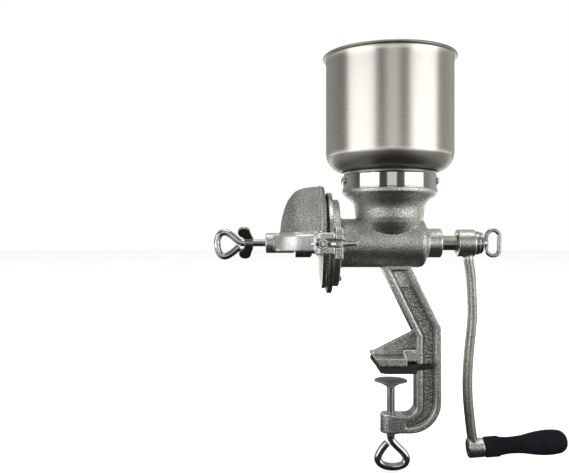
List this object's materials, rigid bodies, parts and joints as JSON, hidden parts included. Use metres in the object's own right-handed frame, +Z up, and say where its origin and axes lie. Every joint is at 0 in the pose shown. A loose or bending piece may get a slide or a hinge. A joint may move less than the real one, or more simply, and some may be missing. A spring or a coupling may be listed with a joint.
{
  "type": "hand grain mill",
  "caption": "Table-clamped hand grain mill: cast body with auger and burr discs, hinged burr cover, curved crank with turning grip, lift-off sheet steel hopper and screw clamp.",
  "frame": {"origin": "on the table face under the rubber pad, straight below the hopper's axis", "axes": "+Z up along the hopper's axis, +X along the auger towards the crank, -Y towards the camera"},
  "size_m": [0.3527, 0.2006, 0.413],
  "materials": {
    "casting": "tinned grey cast iron, sandy as cast, machined faces brighter",
    "burr_iron": "darker tinned cast iron, oiled",
    "plated_steel": "bright plated steel",
    "hopper_steel": "satin stainless sheet",
    "collar_steel": "polished stainless sheet",
    "pad_rubber": "matt black rubber",
    "grip_plastic": "satin black moulded plastic"
  },
  "bodies": {
    "body": {"mill_housing": "casting", "stationary_burr": "burr_iron", "burr_screws": "plated_steel", "rubber_pad": "pad_rubber"},
    "hopper": {"hopper_bowl": "hopper_steel", "hopper_collar": "collar_steel"},
    "ball": {"thrust_ball": "plated_steel"},
    "cover": {"burr_cover": "casting", "swing_pin_near": "plated_steel", "swing_pin_far": "plated_steel"},
    "bolt_near": {"swing_bolt_near": "plated_steel"},
    "bolt_far": {"swing_bolt_far": "plated_steel"},
    "nut_near": {"wing_nut_near": "plated_steel"},
    "nut_far": {"wing_nut_far": "plated_steel"},
    "lock_nut": {"lock_wing_nut": "casting"},
    "adjuster": {"adjusting_screw": "plated_steel"},
    "crank": {"crank_arm": "casting", "grip_pin": "plated_steel"},
    "grinder": {"auger": "burr_iron", "rotating_burr": "burr_iron", "drive_collar": "burr_iron", "drive_pin": "plated_steel"},
    "handle": {"grip": "grip_plastic"},
    "washer": {"crank_washer": "plated_steel"},
    "thumb": {"thumb_screw": "plated_steel"},
    "foot": {"clamp_pad": "plated_steel"},
    "clamp": {"clamp_screw": "plated_steel"}
  },
  "joints": [
    {"name": "hopper_lift", "type": "slide", "parent": "body", "child": "hopper", "axis": [0, 0, 1], "range_m": [0, 0.0335]},
    {"name": "cover_draw_off", "type": "slide", "parent": "body", "child": "ball", "axis": [-1, 0, 0], "range_m": [0, 0.213]},
    {"name": "cover_turn", "type": "hinge", "parent": "ball", "child": "cover", "pos_m": [0, 0, 0.1225], "axis": [1, 0, 0], "range_deg": [0, 90]},
    {"name": "bolt_near_swing", "type": "hinge", "parent": "cover", "child": "bolt_near", "pos_m": [-0.0714, -0.0635, 0.1225], "axis": [0, 0, -1], "range_deg": [-90, 0]},
    {"name": "bolt_far_swing", "type": "hinge", "parent": "cover", "child": "bolt_far", "pos_m": [-0.0714, 0.0635, 0.1225], "axis": [0, 0, 1], "range_deg": [-90, 0]},
    {"name": "nut_near_turn", "type": "hinge", "parent": "bolt_near", "child": "nut_near", "pos_m": [-0.0714, -0.0895, 0.1225], "axis": [0, -1, 0], "range_deg": [-1800, 1440]},
    {"name": "nut_far_turn", "type": "hinge", "parent": "bolt_far", "child": "nut_far", "pos_m": [-0.0714, 0.0895, 0.1225], "axis": [0, 1, 0], "range_deg": [-1800, 1440]},
    {"name": "adjuster_turn", "type": "hinge", "parent": "cover", "child": "lock_nut", "pos_m": [-0.14, 0, 0.1225], "axis": [-1, 0, 0], "range_deg": [0, 451]},
    {"name": "adjuster_travel", "type": "slide", "parent": "lock_nut", "child": "adjuster", "axis": [-1, 0, 0], "range_m": [0, 0.00156]},
    {"name": "crank_turn", "type": "hinge", "parent": "body", "child": "crank", "pos_m": [0.075, 0, 0.1225], "axis": [1, 0, 0], "continuous": true},
    {"name": "auger_draw_out", "type": "slide", "parent": "crank", "child": "grinder", "axis": [-1, 0, 0], "range_m": [0, 0.1634]},
    {"name": "grip_spin", "type": "hinge", "parent": "crank", "child": "handle", "pos_m": [0.0781, 0, -0.0828], "axis": [0.9971, 0, 0.0767], "continuous": true},
    {"name": "thumb_out", "type": "slide", "parent": "crank", "child": "washer", "axis": [1, 0, 0], "range_m": [0, 0.028]},
    {"name": "thumb_turn", "type": "hinge", "parent": "washer", "child": "thumb", "pos_m": [0.1, 0, 0.1225], "axis": [1, 0, 0], "range_deg": [0, 10081]},
    {"name": "clamp_lift", "type": "slide", "parent": "body", "child": "foot", "axis": [0, 0, 1], "range_m": [-0.025, 0.004]},
    {"name": "clamp_turn", "type": "hinge", "parent": "foot", "child": "clamp", "pos_m": [0.0013, 0, -0.05], "axis": [0, 0, 1], "range_deg": [-4501, 721]}
  ],
  "couplings": [
    {"joint": "cover_turn", "follows": "cover_draw_off", "rad_per_m": 7.3746},
    {"joint": "auger_draw_out", "follows": "cover_draw_off", "ratio": 0.7671},
    {"joint": "adjuster_turn", "follows": "adjuster_travel", "rad_per_m": 5026.5},
    {"joint": "thumb_turn", "follows": "thumb_out", "rad_per_m": 6283.2},
    {"joint": "clamp_turn", "follows": "clamp_lift", "rad_per_m": 3141.6}
  ]
}
